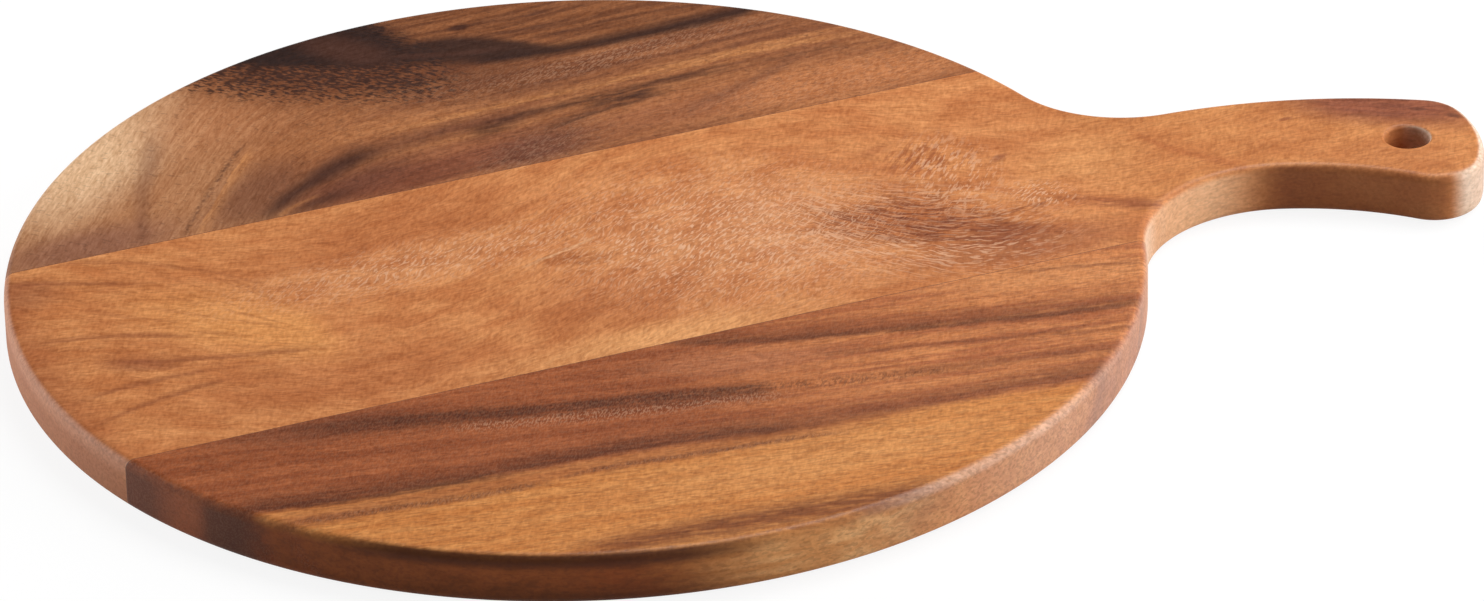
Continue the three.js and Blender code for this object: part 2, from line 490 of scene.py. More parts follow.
# %% Group: a soft patch
draw, given, result = shader_group(
    "patch",
    {"Place": "Vector", "X": 0, "Y": 0, "Turn": 0, "Length": 20, "Width": 10, "Soft": 0.7, "Share": 1},
    Mask="Float",
)
x, y, _ = draw.split(given["Place"])
off_x = draw.math("SUBTRACT", x, given["X"])
off_y = draw.math("SUBTRACT", y, given["Y"])
turn = draw.math("RADIANS", given["Turn"])
cosine = draw.math("COSINE", turn)
sine = draw.math("SINE", turn)
along = draw.math("MULTIPLY_ADD", off_x, cosine, draw.math("MULTIPLY", off_y, sine))
across = draw.math("SUBTRACT", draw.math("MULTIPLY", off_y, cosine), draw.math("MULTIPLY", off_x, sine))
far = draw.join(draw.math("DIVIDE", along, given["Length"]), draw.math("DIVIDE", across, given["Width"]), 0)
distance = draw.add("ShaderNodeVectorMath", {0: far}, operation="LENGTH").outputs["Value"]
outer = draw.math("ADD", 1, given["Soft"])
inner = draw.math("SUBTRACT", 1, given["Soft"])
draw.wire(result[0], draw.ramp(distance, outer, inner, 0, given["Share"]))
patch_group = draw.tree

# %% [markdown]
# Close up, wood is a bundle of thin tubes. Some are cut open as dark pores, and others catch the light; those
# glints are painted on as pale flecks. Thousands of strokes could be scattered as small shapes, but noise in
# cells that are much longer than wide looks the same and weighs nothing, and a level drawn through it leaves
# short dashes.

# %% Groups: fibre, and the pores and painted glints cut from it
SPARSEST_LEVEL = 0.61
COVER_DROP = 0.3
DASH_EDGE = 0.09


def stretched_noise(draw, given, detail):
    """Noise in cells that are long along the grain, set apart from its like by a seed."""
    shifted = draw.vector("ADD", given["Place"], draw.join(given["Seed"], 0, given["Seed"]))
    cell = draw.join(given["Long"], given["Wide"], given["Wide"])
    return draw.noise(draw.vector("DIVIDE", shifted, cell), detail)


draw, given, result = shader_group(
    "fibre", {"Place": "Vector", "Long": 8, "Wide": 0.6, "Seed": 0}, Value="Float")
draw.wire(result[0], stretched_noise(draw, given, 2))
fibre_group = draw.tree

draw, given, result = shader_group(
    "dashes", {"Place": "Vector", "Long": 2.5, "Wide": 0.7, "Cover": 0.5, "Seed": 0}, Mask="Float")
level = draw.math("MULTIPLY_ADD", given["Cover"], -COVER_DROP, SPARSEST_LEVEL)
full = draw.math("ADD", level, DASH_EDGE)
draw.wire(result[0], draw.ramp(stretched_noise(draw, given, 1), level, full))
dashes_group = draw.tree


# %% [markdown]
# A maker points at a line in the wood by where it starts, where it passes and where it ends. Three points fix
# a gently bent line, so the finishes below name three points in millimetres for each band, and a middle, two
# half sizes and a turn for each patch. What lies between is worked out here.

# %% Bands, patches and pores by their places
class Wood(Finish):
    """A finish that names the figure of the wood by places on the board."""

    def wander(self, place, along, across, amount, seed=0):
        """The place moved a little across the grain, so that lines drawn on it wander."""
        return self.use(wander_group, place=place, along=along, across=across, amount=amount, seed=seed)

    def line(self, first, middle, last):
        """Middle, height, slope and bend of the line through three points."""
        run_back = first[0] - middle[0]
        run_on = last[0] - middle[0]
        slope_back = (first[1] - middle[1]) / run_back
        slope_on = (last[1] - middle[1]) / run_on
        bend = (slope_on - slope_back) / (run_on - run_back)
        return {"middle": middle[0], "height": middle[1], "slope": slope_back - bend * run_back, "bend": bend}

    def band(self, place, first, middle, last, back=3, front=3, fade=16, share=1):
        """A band along a line, with its own reach to the back and to the front."""
        ends = {"start": first[0] - fade / 2, "stop": last[0] + fade / 2, "fade": fade}
        path = self.line(first, middle, last)
        return self.use(band_group, place=place, back=back, front=front, share=share, **path, **ends)

    def off(self, place, first, middle, last):
        """How far behind a line a place lies."""
        return self.use(band_group, output=1, place=place, **self.line(first, middle, last))

    def behind(self, place, first, middle, last, soft):
        """Everything behind a line."""
        return self.ramp(self.off(place, first, middle, last), -soft, soft)

    def patch(self, place, middle, half_sizes, turn=0, soft=0.7, share=1):
        """A soft oval patch, turned by some degrees."""
        (x, y), (length, width) = middle, half_sizes
        sizes = {"x": x, "y": y, "length": length, "width": width}
        return self.use(patch_group, place=place, turn=turn, soft=soft, share=share, **sizes)

    def dashes(self, place, long, wide, cover, seed=0):
        """Short strokes along the grain: pores, or pale dashes for painted glints."""
        return self.use(dashes_group, place=place, long=long, wide=wide, cover=cover, seed=seed)

    def fibre(self, place, long, wide, seed=0):
        """Soft noise along the grain."""
        return self.use(fibre_group, place=place, long=long, wide=wide, seed=seed)

    def streaks(self, place, long, wide, seed, faint=0.35, full=0.65, least=0):
        """Streaks along the grain as a mask: where the fibre noise goes from faint to full."""
        return self.ramp(self.fibre(place, long, wide, seed), faint, full, least)

    def turned(self, place, degrees):
        """The place turned about the vertical, so that strokes drawn on it slant."""
        inputs = {"Vector": place, "Rotation": (0, 0, math.radians(-degrees))}
        return self.add("ShaderNodeMapping", inputs).outputs[0]

    def stain(self, below, *stains):
        """Tints laid over a colour one after the other, each given as a mask, a strength and a tint."""
        for mask, strength, tint in stains:
            below = self.mix(self.math("MULTIPLY", mask, strength), below, tint)
        return below


print("ways to draw wood:", [name for name in vars(Wood) if not name.startswith("_")])

# %% [markdown]
# What every stave shares is the wood itself: fibres, open pores that run along the grain, end grain that
# drinks more oil and so turns darker where the rim cuts across the fibres, and the satin of an oiled and
# rubbed surface. One function starts each finish and another ends it, so that the three staves belong to one
# board.

# %% The ways a wood finish starts and ends
SATIN_ROUGHNESS = 0.3
ROUGHNESS_SPREAD = 0.2
RIM_ROUGHER = 0.25
RIM_GRAIN = 0.55
FINE_GRAIN = 1.3
BROAD_GRAIN = 0.7
RIPPLE_TURN = 62
FIBRE_DEPTH = 0.12 * MM
FIBRE_BUMP = 0.3
GLOSS = 0.26
END_GRAIN_SHARE = 0.2
SHADED = (0.78, 0.70, 0.62, 1)
LIT = (1.22, 1.30, 1.38, 1)
PORE_BROWN = colour(70, 38, 24)
# Painted glint: the pale colour laid where fibre catches the light.
PAINTED_GLINT = colour(236, 186, 150)
END_GRAIN_BROWN = colour(128, 74, 50)


def empty_material(name):
    """A new material with nothing in its tree."""
    material = bpy.data.materials.new(name)
    material.use_nodes = True
    material.node_tree.nodes.clear()
    return material


def start_wood(name, lean):
    """A new material, its drawing, the place in mm, and that place as the figure leans with depth."""
    material = empty_material(name)
    draw = Wood(material.node_tree)
    point = draw.add("ShaderNodeTexCoord").outputs["Object"]
    place = draw.vector("MULTIPLY", point, (1 / MM, 1 / MM, 1 / MM))
    depth = draw.math("SUBTRACT", THICKNESS / MM, draw.split(place)[2])
    leaning = draw.vector("ADD", place, draw.join(0, draw.math("MULTIPLY", depth, lean), 0))
    return material, draw, place, leaning


def grain(draw, place, flow, upright):
    """The fibre that the eye sees and the finger feels: its height, its shade and its finest part."""
    long_fibre = draw.fibre(flow, long=12, wide=0.9)
    mottle = draw.fibre(flow, long=8, wide=5, seed=99)
    speckle = draw.fibre(flow, long=2, wide=0.8, seed=40)
    ripple = draw.fibre(draw.turned(place, RIPPLE_TURN), long=2.8, wide=0.9, seed=77)
    broad_part = draw.math("MULTIPLY", draw.math("ADD", long_fibre, mottle), BROAD_GRAIN)
    height = draw.math("MULTIPLY_ADD", draw.math("ADD", speckle, ripple), FINE_GRAIN, broad_part)
    above_mean = draw.math("SUBTRACT", height, FINE_GRAIN + BROAD_GRAIN)
    strength = draw.ramp(upright, 0.3, 0.9, RIM_GRAIN, 1)
    share = draw.math("MULTIPLY_ADD", above_mean, strength, 0.5, clamp=True)
    return height, draw.mix(share, SHADED, LIT), speckle


def end_wood(draw, figure, place, flow, pore_share, glints):
    """Lays fibre, pores, painted glints and end grain over the figure, and ends in the oiled surface."""
    facing = draw.split(draw.add("ShaderNodeTexCoord").outputs["Normal"])
    upright = draw.math("ABSOLUTE", facing[2])
    fibre_height, fibre_shade, speckle = grain(draw, place, flow, upright)
    grained = draw.mix(1, figure, fibre_shade, "MULTIPLY")
    pores = draw.times(draw.dashes(flow, long=2.8, wide=0.8, cover=0.35, seed=7), pore_share)
    glinted = draw.mix(glints, draw.mix(pores, grained, PORE_BROWN), PAINTED_GLINT)
    end_grain = draw.ramp(draw.math("ABSOLUTE", facing[0]), 0.3, 0.9)
    ended = draw.stain(glinted, (end_grain, END_GRAIN_SHARE, END_GRAIN_BROWN))
    height = draw.math("SUBTRACT", fibre_height, pores)
    bump = draw.add("ShaderNodeBump", {"Height": height, "Strength": FIBRE_BUMP, "Distance": FIBRE_DEPTH})
    rim = draw.ramp(upright, 0.97, 0.7, 0, RIM_ROUGHER)
    satin = draw.math("MULTIPLY_ADD", speckle, ROUGHNESS_SPREAD, SATIN_ROUGHNESS)
    surface = draw.add("ShaderNodeBsdfPrincipled", {
        "Base Color": ended, "Roughness": draw.math("ADD", rim, satin), "Normal": bump.outputs[0],
        "Specular IOR Level": GLOSS,
    })
    draw.wire(draw.add("ShaderNodeOutputMaterial").inputs["Surface"], surface.outputs[0])
    draw.tell("whole finish")


# %% [markdown]
# The front stave is golden at its front edge and reddish brown toward the joint. A long dark line parts the
# two, and a band of open pores, a wide stripe and a few narrow ones run down to the right. The body comes
# first: its streaks are noise stretched along the grain, and the brown part is everything behind one line.

# %% The front stave's body
FRONT_SLANT = 0.16

front_wood, draw, place, leaning = start_wood("front_wood", lean=0.5)
broad = draw.wander(leaning, along=45, across=16, amount=2)
loose = draw.wander(broad, along=6, across=1.2, amount=1, seed=11)
x, _, z = draw.split(loose)
slant = draw.vector("ADD", place, draw.join(0, draw.math("MULTIPLY", x, FRONT_SLANT), 0))
drifting = draw.wander(slant, along=30, across=10, amount=2, seed=4)
streaks = draw.streaks(drifting, long=50, wide=3, seed=3)
gold = draw.mix(streaks, colour(203, 126, 63), colour(215, 141, 76))
red_brown = draw.mix(streaks, colour(146, 74, 37), colour(166, 90, 49))
tan_brown = draw.mix(streaks, colour(174, 98, 55), colour(204, 127, 73))
brown = draw.mix(draw.ramp(x, -20, 70), red_brown, tan_brown)
heart = draw.behind(loose, (-119, -89), (-40, -97), (60, -108), soft=2.5)
beside_line = draw.band(loose, (-124, -94), (-40, -100), (40, -107), back=6, front=6, fade=40)
body = draw.stain(
    draw.mix(heart, gold, brown),
    (beside_line, 0.6, colour(164, 94, 54)),
    (draw.patch(loose, (-92, -54), (24, 6), turn=-8), 0.6, colour(112, 60, 38)),
    (draw.patch(loose, (112, -58), (30, 7), turn=-12, soft=0.6), 0.8, colour(214, 140, 84)),
    (draw.patch(broad, (20, -120), (52, 9), turn=-3, soft=0.8), 0.5, colour(222, 153, 90)),
    (draw.patch(loose, (20, -66), (24, 6), turn=-14), 0.6, colour(190, 119, 78)),
)
draw.tell("front stave's body")

# %% [markdown]
# The dark lines come next, each from its own three points. The wide stripe is made twice, soft and broad and
# then deep and narrow, because it darkens toward its crisp front side. All lines are broken up by short
# streaks of fibre, which keeps them from looking painted on.

# %% The front stave's dark lines
pore_run = draw.band(loose, (-97, -52), (-41, -66), (21, -80), back=4, front=10, fade=8)
pore_band = draw.times(pore_run, draw.ramp(x, -112, -66))
thin_lines = draw.most(
    draw.band(loose, (-113, -95.5), (-85, -100), (-50, -103), back=3, front=2.4, fade=14),
    draw.band(loose, (-40, -102.5), (0, -105.5), (30, -110), back=2, front=1.8, fade=20),
)
narrow_lines = draw.most(
    draw.band(loose, (38, -71), (70, -79), (112, -86), back=2.2, front=1.8, fade=20),
    draw.band(loose, (98, -85), (106, -88), (124, -89), back=1.8, front=1.5, fade=8),
    draw.band(loose, (50, -88), (80, -93), (114, -100), back=5, front=3, fade=24),
    draw.band(loose, (105, -53), (120, -56), (137, -62), back=1.6, front=1.6, fade=10),
)
stripe_line = ((8, -51), (70, -69.5), (130, -81))
soft_lines = draw.most(
    draw.band(loose, *stripe_line, back=13, front=2.4, fade=14, share=0.6),
    draw.band(loose, (10, -101.5), (60, -105), (114, -109), back=9, front=5, fade=24, share=0.7),
    draw.band(loose, (-50, -138), (-10, -141), (44, -146), back=9, front=10, fade=26, share=0.84),
    draw.times(narrow_lines, 0.55),
    draw.times(thin_lines, 0.62),
)
deep_lines = draw.most(
    draw.band(loose, *stripe_line, back=4, front=2, fade=14, share=0.5),
    draw.band(loose, (-124, -85), (-85, -92), (-54, -95), back=10, front=2.6, share=0.8),
    draw.band(loose, (-58, -93), (-20, -96.5), (18, -102), back=9, front=2.6, share=0.8),
    draw.times(pore_band, 0.8),
)
broken = draw.streaks(slant, long=9, wide=1.6, seed=18, faint=0.3, full=0.56, least=0.6)
figure = draw.stain(
    body,
    (soft_lines, broken, colour(116, 57, 28)),
    (deep_lines, broken, colour(84, 38, 18)),
)
draw.tell("front stave's lines")

# %% [markdown]
# On the rim the cut goes across the rings, so its tones change from place to place and not with the top. They
# are told apart by the depth below the top and by the place along the board: a dark end at the joint, red
# brown round the front and gold after it. Light and shade are painted on as well: painted shade low on the
# front rim and along its front-left edge, and painted light toward the right, where the gold is lighter than
# on the top, with a pale sheen, a highlight along the edge and a pale highlight toward the neck.

# %% The front stave's rim
depth = draw.math("SUBTRACT", THICKNESS / MM, z)
under = draw.ramp(depth, 0.3, 3)
rim_red = draw.mix(streaks, colour(128, 59, 20), colour(148, 69, 26))
# Gold of the rim wood, painted lighter than the top's gold as light from the right.
rim_gold_and_light = draw.mix(streaks, colour(226, 158, 96), colour(248, 188, 126))
# Painted shade: darker toward the bottom of the front rim.
low_shade = draw.times(draw.ramp(depth, 5, 14), draw.span(x, (-112, -70), (-4, -44)))
# Painted sheen: pale pink on the right of the rim, for the reflection of the light there.
rim_sheen = draw.times(draw.ramp(depth, 0.05, 1.5), draw.ramp(x, 8, 90))
# Painted highlight: a pale line along the top edge on the right.
edge_highlight = draw.times(draw.span(depth, (0.02, 0.4), (3, 0.8)), draw.span(x, (14, 44), (122, 76)))
# Painted shade: a dark line along the top edge at the front left, away from the light.
shaded_edge = draw.times(draw.span(depth, (0.02, 0.6), (5, 2)), draw.span(x, (-114, -92), (4, -30)))
figure = draw.stain(
    figure,
    (draw.times(under, draw.ramp(x, -126, -130)), 0.8, colour(172, 96, 62)),
    (draw.times(under, draw.ramp(x, -133, -139)), 0.85, colour(94, 53, 39)),
    (draw.times(under, draw.span(x, (-130, -122), (-8, -50))), 0.85, rim_red),
    (draw.times(under, draw.span(x, (-132, -128), (-116, -124))), 0.85, colour(72, 42, 33)),
    (low_shade, 0.6, colour(58, 30, 14)),
    (draw.times(under, draw.span(x, (-32, 6), (50, 24))), 0.75, rim_gold_and_light),
    (rim_sheen, 0.52, colour(212, 172, 152)),
    # Painted highlight: the rim pale toward the neck, where the light from the right falls.
    (draw.times(under, draw.ramp(x, 130, 141)), 0.7, colour(244, 212, 182)),
    (edge_highlight, 0.46, colour(228, 190, 168)),
    (shaded_edge, 0.88, colour(80, 36, 14)),
)
draw.tell("front stave's rim")

# %% [markdown]
# The band of open pores is a field of dark specks with painted glints, pale flecks of painted highlight,
# between them, and both lie at a slant to the grain. They are too many to place by hand, so dashes of noise
# are turned to that slant and kept to the zones where the real wood shows them.

# %% The front stave's surface
FRONT_GLINT_TURN = 55
FRONT_GLINT_SHARE = 0.26

glint_zone = draw.most(
    draw.band(loose, (-60, -68), (-16, -78), (24, -86), back=4, front=7, fade=20),
    draw.times(pore_band, draw.ramp(x, -70, -30, 0, 0.3)),
    draw.times(thin_lines, 0.4),
    draw.times(heart, 0.22),
)
speck_zone = draw.most(
    draw.band(loose, (18, -80), (42, -86), (66, -91), back=4, front=4, fade=14, share=0.45),
    draw.times(pore_band, 0.45),
    draw.times(thin_lines, 0.4),
)
slanted = draw.turned(place, FRONT_GLINT_TURN)
specks = draw.dashes(slanted, long=1.7, wide=0.6, cover=0.4, seed=63)
figure = draw.stain(figure, (specks, speck_zone, colour(72, 32, 16)))
# Painted glints: pale dashes where the fibre catches the light.
glints = draw.dashes(slanted, long=1.4, wide=0.45, cover=0.42, seed=90)
glint_mask = draw.times(glints, glint_zone, FRONT_GLINT_SHARE)
end_wood(draw, figure, place, slant, pore_share=0.2, glints=glint_mask)

# %% [markdown]
# The back stave is the wildest: pale sapwood at its left end, a black heart with speckles around it, a dark
# wedge that springs from the joint and golden streaks between. Its grain stands steep at the left and lies
# down toward the right, so the fibres are drawn on a place that is sheared more and more to the left.

# %% The back stave's body
BACK_SLANT = -0.06
STEEP_FROM = -45
STEEP_BLEND = 40
STEEPNESS = 1.2
LEFT_SIDE_LEAN = 0.1

back_wood, draw, place, leaning = start_wood("back_wood", lean=-0.4)
broad = draw.wander(leaning, along=40, across=14, amount=2, seed=21)
loose = draw.wander(broad, along=6, across=1.2, amount=1, seed=33)
x, y, _ = draw.split(loose)
steep_side = draw.math("SMOOTH_MAX", draw.math("SUBTRACT", STEEP_FROM, x), 0, STEEP_BLEND)
lift = draw.math("MULTIPLY_ADD", x, BACK_SLANT, draw.math("MULTIPLY", steep_side, STEEPNESS))
drifting = draw.wander(place, along=24, across=9, amount=2, seed=3)
flow = draw.vector("ADD", drifting, draw.join(0, lift, 0))
streaks = draw.streaks(flow, long=45, wide=2.6, seed=9)
contrast = draw.ramp(x, -70, 10, 0, 0.8)
calm = draw.math("MULTIPLY_ADD", draw.math("SUBTRACT", streaks, 0.5), contrast, 0.5)
brown = draw.mix(calm, colour(146, 87, 53), colour(176, 112, 68))
left_brown = draw.mix(streaks, colour(175, 117, 77), colour(182, 125, 84))
light_brown = draw.mix(streaks, colour(182, 118, 76), colour(202, 140, 96))
dark_brown = draw.mix(calm, colour(110, 61, 38), colour(152, 92, 57))
gold_brown = draw.mix(streaks, colour(112, 64, 37), colour(144, 87, 51))
red_brown = draw.mix(calm, colour(112, 58, 38), colour(142, 80, 54))
left_side = draw.ramp(draw.math("MULTIPLY_ADD", y, LEFT_SIDE_LEAN, x), -38, -66)
body = draw.stain(
    draw.mix(left_side, brown, left_brown),
    (draw.patch(broad, (-99, 105), (34, 14), turn=47, soft=0.75), 1, colour(231, 187, 145)),
    (draw.patch(loose, (-116, 59), (24, 9), turn=5), 0.8, colour(142, 92, 70)),
    (draw.patch(broad, (-62, 112), (20, 15), turn=10, soft=0.8), 0.6, light_brown),
    (draw.patch(loose, (-10, 92), (40, 5), turn=3, soft=0.8), 0.6, colour(184, 118, 72)),
    (draw.patch(loose, (62, 101), (64, 9), turn=2, soft=0.6), 0.7, dark_brown),
    (draw.patch(loose, (44, 132), (54, 14), turn=-17, soft=0.4), 0.9, gold_brown),
    (draw.patch(loose, (100, 66), (42, 10), turn=-3, soft=0.6), 0.9, colour(191, 119, 71)),
    (draw.patch(loose, (52, 66), (24, 9), turn=6), 0.6, colour(158, 94, 60)),
    (draw.patch(loose, (-18, 63), (36, 9), turn=6, soft=0.5), 0.9, red_brown),
    (draw.patch(loose, (14, 62), (15, 8), turn=20), 0.7, colour(104, 58, 44)),
    (draw.patch(loose, (-14, 71), (17, 3), turn=3), 0.6, colour(166, 102, 66)),
)
draw.tell("back stave's body")

# %% [markdown]
# Around the dark wedge the wood is bright in thin streaks and dull in a soft haze. The haze goes on after the
# streaks, as a thin wash of colour would, so a streak sinks into it where the two cross.

# %% The back stave's bright streaks and haze
broken = draw.streaks(flow, long=8, wide=1.8, seed=18, faint=0.32, full=0.58, least=0.45)
bright = draw.most(
    draw.band(loose, (-86, 56), (-75, 71), (-59, 92), back=1, front=7, fade=6),
    draw.band(loose, (-64, 55), (-57, 58.5), (-50, 61.5), back=1.2, front=2, fade=6),
    draw.band(loose, (-15, 87), (40, 90), (104, 93), back=2.4, front=2, fade=26),
    draw.band(loose, (60, 89), (85, 90), (114, 89), back=3, front=2.6, fade=14),
)
haze = draw.most(
    draw.patch(broad, (-64, 68), (19, 10), turn=40, soft=0.6),
    draw.patch(broad, (-42, 73), (15, 5), turn=28),
    draw.patch(broad, (-40, 64), (20, 6), turn=20),
    draw.band(broad, (-44, 74), (-10, 81), (22, 82), back=7, front=6, fade=20, share=0.9),
    draw.band(loose, (-101, 56), (-91, 84), (-80, 106), back=12, front=10, fade=8, share=0.6),
    draw.band(loose, (58, 67), (76, 73), (96, 82), back=4, front=4, share=0.7),
)
figure = draw.stain(
    body,
    (bright, draw.times(broken, 0.7), colour(206, 137, 82)),
    (haze, 0.64, colour(106, 60, 43)),
)
draw.tell("back stave's streaks")

# %% [markdown]
# The wedge itself is a broad band with smaller ones beside it. Some lines are whole and others are broken by
# the fibre. One thin line at the left climbs steeply across the fibres, so its place is shaken by fine noise
# and grains are cut out of it.

# %% The back stave's dark lines
whole_lines = draw.most(
    draw.band(broad, (-66, 56), (-50, 69), (-28, 78), back=6.5, front=6.5, share=0.92),
    draw.band(loose, (-58, 55), (-51, 58), (-42, 61), back=3, front=6, fade=12, share=0.6),
    draw.patch(loose, (18, 136), (3, 1.6), soft=0.5),
)
broken_lines = draw.most(
    draw.band(loose, (2, 79.5), (40, 83.5), (74, 84), back=3.5, front=3.5, fade=20, share=0.85),
    draw.band(loose, (22, 71), (40, 75.8), (56, 78), back=5, front=1.6, fade=12, share=0.75),
    draw.patch(loose, (7, 78), (8, 3), turn=14, soft=0.8, share=0.8),
    draw.patch(loose, (45, 80.5), (10, 4), turn=6),
)
grains = draw.streaks(place, long=1.4, wide=1.4, seed=44, faint=0.36, full=0.6, least=0.2)
shaky = draw.wander(place, along=3, across=1.4, amount=1, seed=44)
thin_lines = draw.most(
    draw.times(grains, draw.band(shaky, (-90, 55), (-78, 72), (-59, 96), back=2.6, front=2, fade=6)),
    draw.band(loose, (70, 86), (90, 84), (114, 83), back=1.8, front=1.6, fade=14, share=0.6),
    draw.band(loose, (10, 136), (25, 136), (44, 136), back=1.8, front=1.6, fade=8),
    draw.band(loose, (24, 129), (36, 128.5), (50, 129), back=1.6, front=1.5, fade=8),
    draw.band(loose, (34, 123), (58, 123.5), (88, 121), back=2, front=1.8, fade=12),
)
figure = draw.stain(
    figure,
    (draw.most(whole_lines, draw.times(broken, broken_lines)), 0.9, colour(64, 34, 25)),
    (thin_lines, draw.times(broken, 0.7), colour(92, 52, 34)),
)
draw.tell("back stave's lines")

# %% [markdown]
# The black heart is everything behind one line and before a second one. In front of it the wood breaks up
# into dark speckles, which thin out with the distance. Hundreds of dots could be placed one by one, but a
# level drawn through noise does the same: the nearer the heart, the lower the level and the more of the noise
# stands above it.

# %% The back stave's black heart and its speckles
HIGHEST_LEVEL = 0.66
LEVEL_DROP = 0.2

heart_off = draw.off(loose, (-47, 141), (-14, 125), (22, 115))
steep_edge = draw.off(loose, (-3, 148), (0, 140), (8, 132))
long_edge = draw.off(loose, (8, 133), (20, 129), (34, 119.5))
before_steep = draw.times(draw.ramp(steep_edge, 17, -12), draw.ramp(x, 11, 1))
before_edge = draw.most(draw.ramp(long_edge, 3, -3), before_steep)
near = draw.times(draw.ramp(heart_off, -31, -5), draw.span(x, (-84, -48), (18, -8)), before_edge)
shade = draw.times(draw.ramp(heart_off, -34, -6), draw.span(x, (-80, -36), (60, 10)), before_edge)
speckle_place = draw.turned(draw.wander(place, along=9, across=6, amount=1.5, seed=8), -42)
hills = draw.fibre(speckle_place, long=2, wide=0.8, seed=55)
level = draw.math("MULTIPLY_ADD", near, -LEVEL_DROP, HIGHEST_LEVEL)
speckles = draw.ramp(draw.math("SUBTRACT", hills, level), -0.12, 0.09)
black = draw.times(draw.ramp(heart_off, -3, 4), before_edge, draw.ramp(x, 50, 28))
tail = draw.band(loose, (10, 117), (58, 112), (104, 115.5), back=7, front=5, fade=24)
glow = draw.most(
    draw.patch(loose, (-15, 136), (15, 6.5), turn=-52, soft=0.6),
    draw.band(loose, (-12, 130), (4, 124), (24, 120), back=2.5, front=2.5, fade=14, share=0.8),
)
figure = draw.stain(
    figure,
    (shade, 0.82, colour(108, 60, 36)),
    (speckles, draw.ramp(near, 0.02, 0.5, 0.3, 0.88), colour(56, 33, 27)),
    (tail, 0.95, colour(54, 29, 21)),
    (black, draw.ramp(x, -30, 16, 0.95, 0.84), colour(43, 26, 22)),
    (draw.times(black, glow), 0.85, colour(80, 47, 35)),
)
draw.tell("back stave's heart")

# %% [markdown]
# A few zones of this stave get fine pale flecks of painted glint, made as on the front stave. Its pores fade
# out toward the left end, where the real wood looks smooth.

# %% The back stave's surface
BACK_GLINT_TURN = 35
BACK_GLINT_SHARE = 0.18

glint_zone = draw.most(
    draw.patch(place, (14, 61), (20, 9), turn=20, soft=0.9, share=0.7),
    draw.patch(place, (10, 103), (24, 8), soft=0.9, share=0.5),
    draw.patch(place, (50, 103), (44, 5), turn=4),
    draw.patch(place, (100, 66), (40, 10), share=0.6),
)
# Painted glints: pale dashes where the fibre catches the light.
glints = draw.dashes(draw.turned(place, BACK_GLINT_TURN), long=1.6, wide=0.45, cover=0.36, seed=70)
glint_mask = draw.times(glints, glint_zone, BACK_GLINT_SHARE)
end_wood(draw, figure, place, flow, pore_share=draw.ramp(x, -70, -30, 0, 0.2), glints=glint_mask)

# %% [markdown]
# The handle stave runs from rim to tip. It is orange gold, with fine dark lines that fan out from the left
# end, a cloud of painted glints in the middle, a dark swirl before the neck and a reddish corner at the tip.
# Its grain rolls up and down on the way, so the fibres follow a sine.

# %% The handle stave's body
ROLL_LENGTH = 33.4
ROLL_HEIGHT = 14
ROLL_END = 157

handle_wood, draw, place, leaning = start_wood("handle_wood", lean=0)
broad = draw.wander(leaning, along=40, across=18, amount=3, seed=5)
loose = draw.wander(broad, along=6, across=1.2, amount=1, seed=17)
x, y, z = draw.split(loose)
rolled = draw.math("DIVIDE", draw.math("MINIMUM", draw.split(place)[0], ROLL_END), ROLL_LENGTH)
roll = draw.math("MULTIPLY", draw.math("SINE", rolled), -ROLL_HEIGHT)
drifting = draw.wander(place, along=16, across=9, amount=3, seed=2)
flow = draw.vector("ADD", drifting, draw.join(0, roll, 0))
clouds = draw.streaks(flow, long=18, wide=9, seed=5, faint=0.32, full=0.68)
duller = draw.most(
    draw.patch(broad, (-76, -34), (34, 13), turn=-8),
    draw.patch(broad, (-38, 37), (38, 13), turn=8),
    draw.patch(broad, (4, -22), (24, 13), soft=0.8),
)
golden = draw.times(draw.patch(broad, (-89, 3), (28, 12), turn=-44), draw.ramp(x, -66, -77))
pinkish = draw.most(
    draw.patch(broad, (42, -2), (38, 30), turn=-15, soft=0.8),
    draw.patch(broad, (-32, 16), (46, 9), turn=2, soft=0.95, share=0.8),
)
body = draw.stain(
    draw.mix(clouds, colour(196, 119, 67), colour(215, 141, 85)),
    (duller, 0.8, draw.mix(clouds, colour(181, 105, 58), colour(195, 118, 68))),
    (golden, 0.85, colour(228, 154, 88)),
    (draw.patch(broad, (8, -46), (36, 6), soft=0.8), 0.8, colour(228, 161, 102)),
    (pinkish, 0.38, draw.mix(clouds, colour(208, 137, 90), colour(220, 156, 111))),
    (draw.ramp(x, 132, 160), 0.8, draw.mix(clouds, colour(194, 120, 66), colour(206, 134, 77))),
    (draw.ramp(x, -134, -147), 0.6, colour(168, 94, 54)),
)
draw.tell("handle stave's body")

# %% [markdown]
# The fan at the left end is made twice. Six lines are the ones that catch the eye, so each has its own band.
# Between them lie many faint ones, and for those a bearing and a reach from one point take the place of Y and
# X: noise that is stretched along the reach then falls into rays.

# %% The handle stave's fan of lines
FAN_X = -60
FAN_Y = -24
RAY_LENGTH = 28
RAYS_PER_RADIAN = 26
RAY_DEPTH = 6

